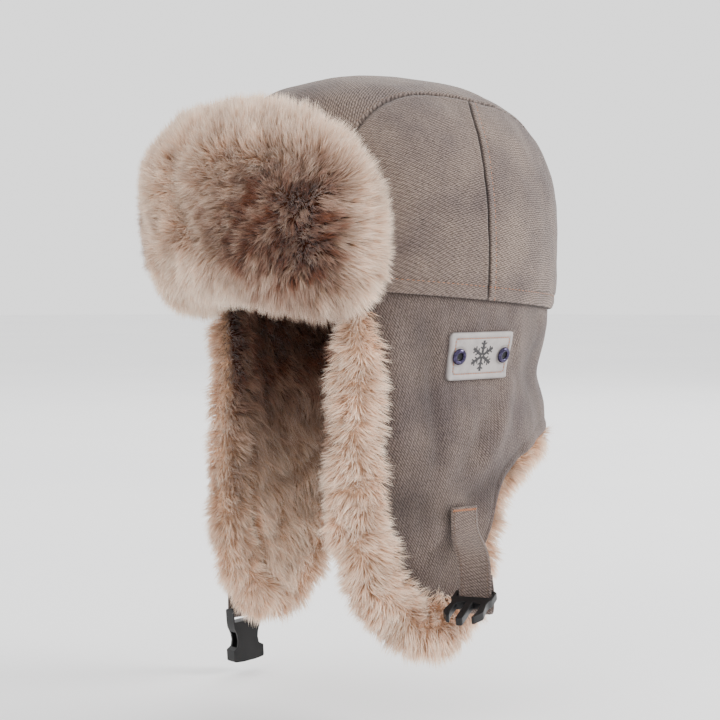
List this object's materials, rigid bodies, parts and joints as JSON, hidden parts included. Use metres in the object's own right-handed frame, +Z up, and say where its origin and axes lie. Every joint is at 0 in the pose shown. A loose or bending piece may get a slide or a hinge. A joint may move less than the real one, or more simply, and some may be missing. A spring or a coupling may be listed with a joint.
{
  "type": "ushanka",
  "caption": "winter hat with round twill crown, folded-up fur forehead flap, hanging fur-lined ear flaps and chin straps with a side-release buckle",
  "frame": {"origin": "the middle of the head opening at the rim seam, where a head holds the hat", "axes": "+Z up through the crown, -Y the way the wearer faces, +X the wearer's left"},
  "size_m": [0.241, 0.2736, 0.3729],
  "materials": {
    "twill": "grey-taupe brushed cotton twill",
    "fur": "deep faux fur, brown at the roots and pale beige at the tips",
    "black_plastic": "moulded black acetal, satin",
    "patch_leather": "light grey leather, matt",
    "eyelet_metal": "purple-blue anodised metal"
  },
  "bodies": {
    "root": {"crown_center_strip": "twill", "crown_side_front_left": "twill", "crown_side_rear_left": "twill", "crown_side_front_right": "twill", "crown_side_rear_right": "twill", "forehead_flap_backing": "twill", "forehead_fur": "fur", "flap_shell": "twill", "ear_fur_left": "fur", "ear_fur_right": "fur", "neck_fur": "fur", "strap_left": "twill", "strap_right": "twill", "buckle_plug": "black_plastic", "buckle_socket": "black_plastic", "patch": "patch_leather", "eyelet_front": "eyelet_metal", "eyelet_rear": "eyelet_metal"}
  },
  "joints": []
}
